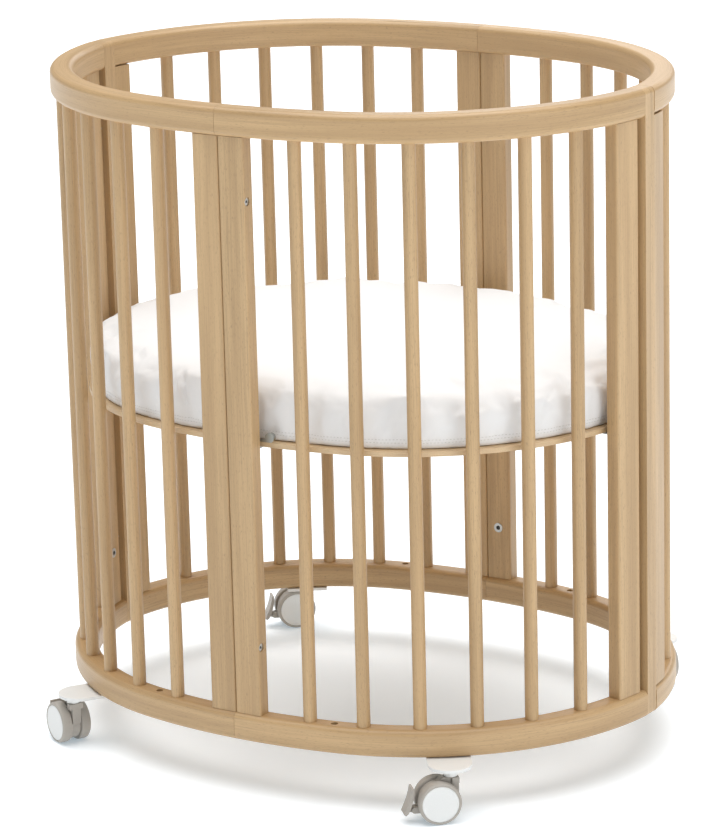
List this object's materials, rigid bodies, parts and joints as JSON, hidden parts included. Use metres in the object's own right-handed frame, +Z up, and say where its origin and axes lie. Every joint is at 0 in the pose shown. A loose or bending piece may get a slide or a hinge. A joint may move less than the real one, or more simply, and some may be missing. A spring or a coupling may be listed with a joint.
{
  "type": "baby crib",
  "caption": "Oval beech baby crib with slatted sides, a height-adjustable base, a mattress and braked swivel casters.",
  "frame": {"origin": "on the floor, under the centre of the oval", "axes": "+X along the oval's long axis, +Y across it towards the back panels, +Z up"},
  "size_m": [0.8322, 0.6584, 0.871],
  "materials": {
    "rails": "matt lacquered beech, laminated and bent",
    "posts": "matt lacquered beech",
    "slats": "matt lacquered beech, turned",
    "base_board": "beech plywood",
    "mattress_cover": "soft white cotton cover",
    "zinc": "zinc plated",
    "dark_zinc": "dark zinc plated",
    "caster_plate": "white nylon",
    "caster_body": "warm grey nylon",
    "caster_tyre": "warm grey polyurethane",
    "caster_cap": "off-white nylon"
  },
  "bodies": {
    "frame": {"front_left_top_rail": "rails", "front_left_bottom_rail": "rails", "front_left_slats": "slats", "front_left_side_post": "posts", "front_left_end_post": "posts", "front_right_top_rail": "rails", "front_right_bottom_rail": "rails", "front_right_slats": "slats", "front_right_side_post": "posts", "front_right_end_post": "posts", "back_left_top_rail": "rails", "back_left_bottom_rail": "rails", "back_left_slats": "slats", "back_left_side_post": "posts", "back_left_through_post": "posts", "back_right_top_rail": "rails", "back_right_bottom_rail": "rails", "back_right_slats": "slats", "back_right_side_post": "posts", "back_right_through_post": "posts", "joint_bolts": "zinc", "joint_inserts": "zinc", "height_inserts": "zinc", "base_bolts": "zinc", "caster_screws": "zinc", "front_left_caster_plate": "caster_plate", "front_right_caster_plate": "caster_plate", "back_left_caster_plate": "caster_plate", "back_right_caster_plate": "caster_plate"},
    "bed_base": {"bed_base": "base_board", "base_brackets": "dark_zinc", "bracket_screws": "dark_zinc"},
    "mattress": {"mattress": "mattress_cover"},
    "front_left_swivel": {"front_left_caster_stem": "zinc", "front_left_caster_fork": "caster_body", "front_left_caster_axle": "zinc"},
    "front_left_wheels": {"front_left_caster_wheels": "caster_tyre", "front_left_caster_caps": "caster_cap"},
    "front_left_brake": {"front_left_caster_brake": "caster_body"},
    "front_right_swivel": {"front_right_caster_stem": "zinc", "front_right_caster_fork": "caster_body", "front_right_caster_axle": "zinc"},
    "front_right_wheels": {"front_right_caster_wheels": "caster_tyre", "front_right_caster_caps": "caster_cap"},
    "front_right_brake": {"front_right_caster_brake": "caster_body"},
    "back_left_swivel": {"back_left_caster_stem": "zinc", "back_left_caster_fork": "caster_body", "back_left_caster_axle": "zinc"},
    "back_left_wheels": {"back_left_caster_wheels": "caster_tyre", "back_left_caster_caps": "caster_cap"},
    "back_left_brake": {"back_left_caster_brake": "caster_body"},
    "back_right_swivel": {"back_right_caster_stem": "zinc", "back_right_caster_fork": "caster_body", "back_right_caster_axle": "zinc"},
    "back_right_wheels": {"back_right_caster_wheels": "caster_tyre", "back_right_caster_caps": "caster_cap"},
    "back_right_brake": {"back_right_caster_brake": "caster_body"}
  },
  "joints": [
    {"name": "bed_base_lift", "type": "slide", "parent": "frame", "child": "bed_base", "axis": [0, 0, 1], "range_m": [0, 0.36]},
    {"name": "mattress_lift", "type": "slide", "parent": "bed_base", "child": "mattress", "axis": [0, 0, 1], "range_m": [0, 0.42]},
    {"name": "front_left_caster_swivel", "type": "hinge", "parent": "frame", "child": "front_left_swivel", "pos_m": [-0.28421, -0.28027, 0.06], "axis": [0, 0, 1], "continuous": true},
    {"name": "front_left_wheel_spin", "type": "hinge", "parent": "front_left_swivel", "child": "front_left_wheels", "pos_m": [-0.29922, -0.27229, 0.027], "axis": [-0.4695, -0.8829, 0], "continuous": true},
    {"name": "front_left_brake_press", "type": "hinge", "parent": "front_left_swivel", "child": "front_left_brake", "pos_m": [-0.32527, -0.25844, 0.017], "axis": [-0.4695, -0.8829, 0], "range_deg": [0, 22]},
    {"name": "front_right_caster_swivel", "type": "hinge", "parent": "frame", "child": "front_right_swivel", "pos_m": [0.28421, -0.28027, 0.06], "axis": [0, 0, 1], "continuous": true},
    {"name": "front_right_wheel_spin", "type": "hinge", "parent": "front_right_swivel", "child": "front_right_wheels", "pos_m": [0.27178, -0.29187, 0.027], "axis": [0.682, -0.7314, 0], "continuous": true},
    {"name": "front_right_brake_press", "type": "hinge", "parent": "front_right_swivel", "child": "front_right_brake", "pos_m": [0.2502, -0.31199, 0.017], "axis": [0.682, -0.7314, 0], "range_deg": [0, 22]},
    {"name": "back_left_caster_swivel", "type": "hinge", "parent": "frame", "child": "back_left_swivel", "pos_m": [-0.28421, 0.28027, 0.06], "axis": [0, 0, 1], "continuous": true},
    {"name": "back_left_wheel_spin", "type": "hinge", "parent": "back_left_swivel", "child": "back_left_wheels", "pos_m": [-0.29664, 0.26868, 0.027], "axis": [0.682, -0.7314, 0], "continuous": true},
    {"name": "back_left_brake_press", "type": "hinge", "parent": "back_left_swivel", "child": "back_left_brake", "pos_m": [-0.31822, 0.24856, 0.017], "axis": [0.682, -0.7314, 0], "range_deg": [0, 22]},
    {"name": "back_right_caster_swivel", "type": "hinge", "parent": "frame", "child": "back_right_swivel", "pos_m": [0.28421, 0.28027, 0.06], "axis": [0, 0, 1], "continuous": true},
    {"name": "back_right_wheel_spin", "type": "hinge", "parent": "back_right_swivel", "child": "back_right_wheels", "pos_m": [0.27028, 0.29002, 0.027], "axis": [-0.5736, -0.8192, 0], "continuous": true},
    {"name": "back_right_brake_press", "type": "hinge", "parent": "back_right_swivel", "child": "back_right_brake", "pos_m": [0.24612, 0.30694, 0.017], "axis": [-0.5736, -0.8192, 0], "range_deg": [0, 22]}
  ]
}
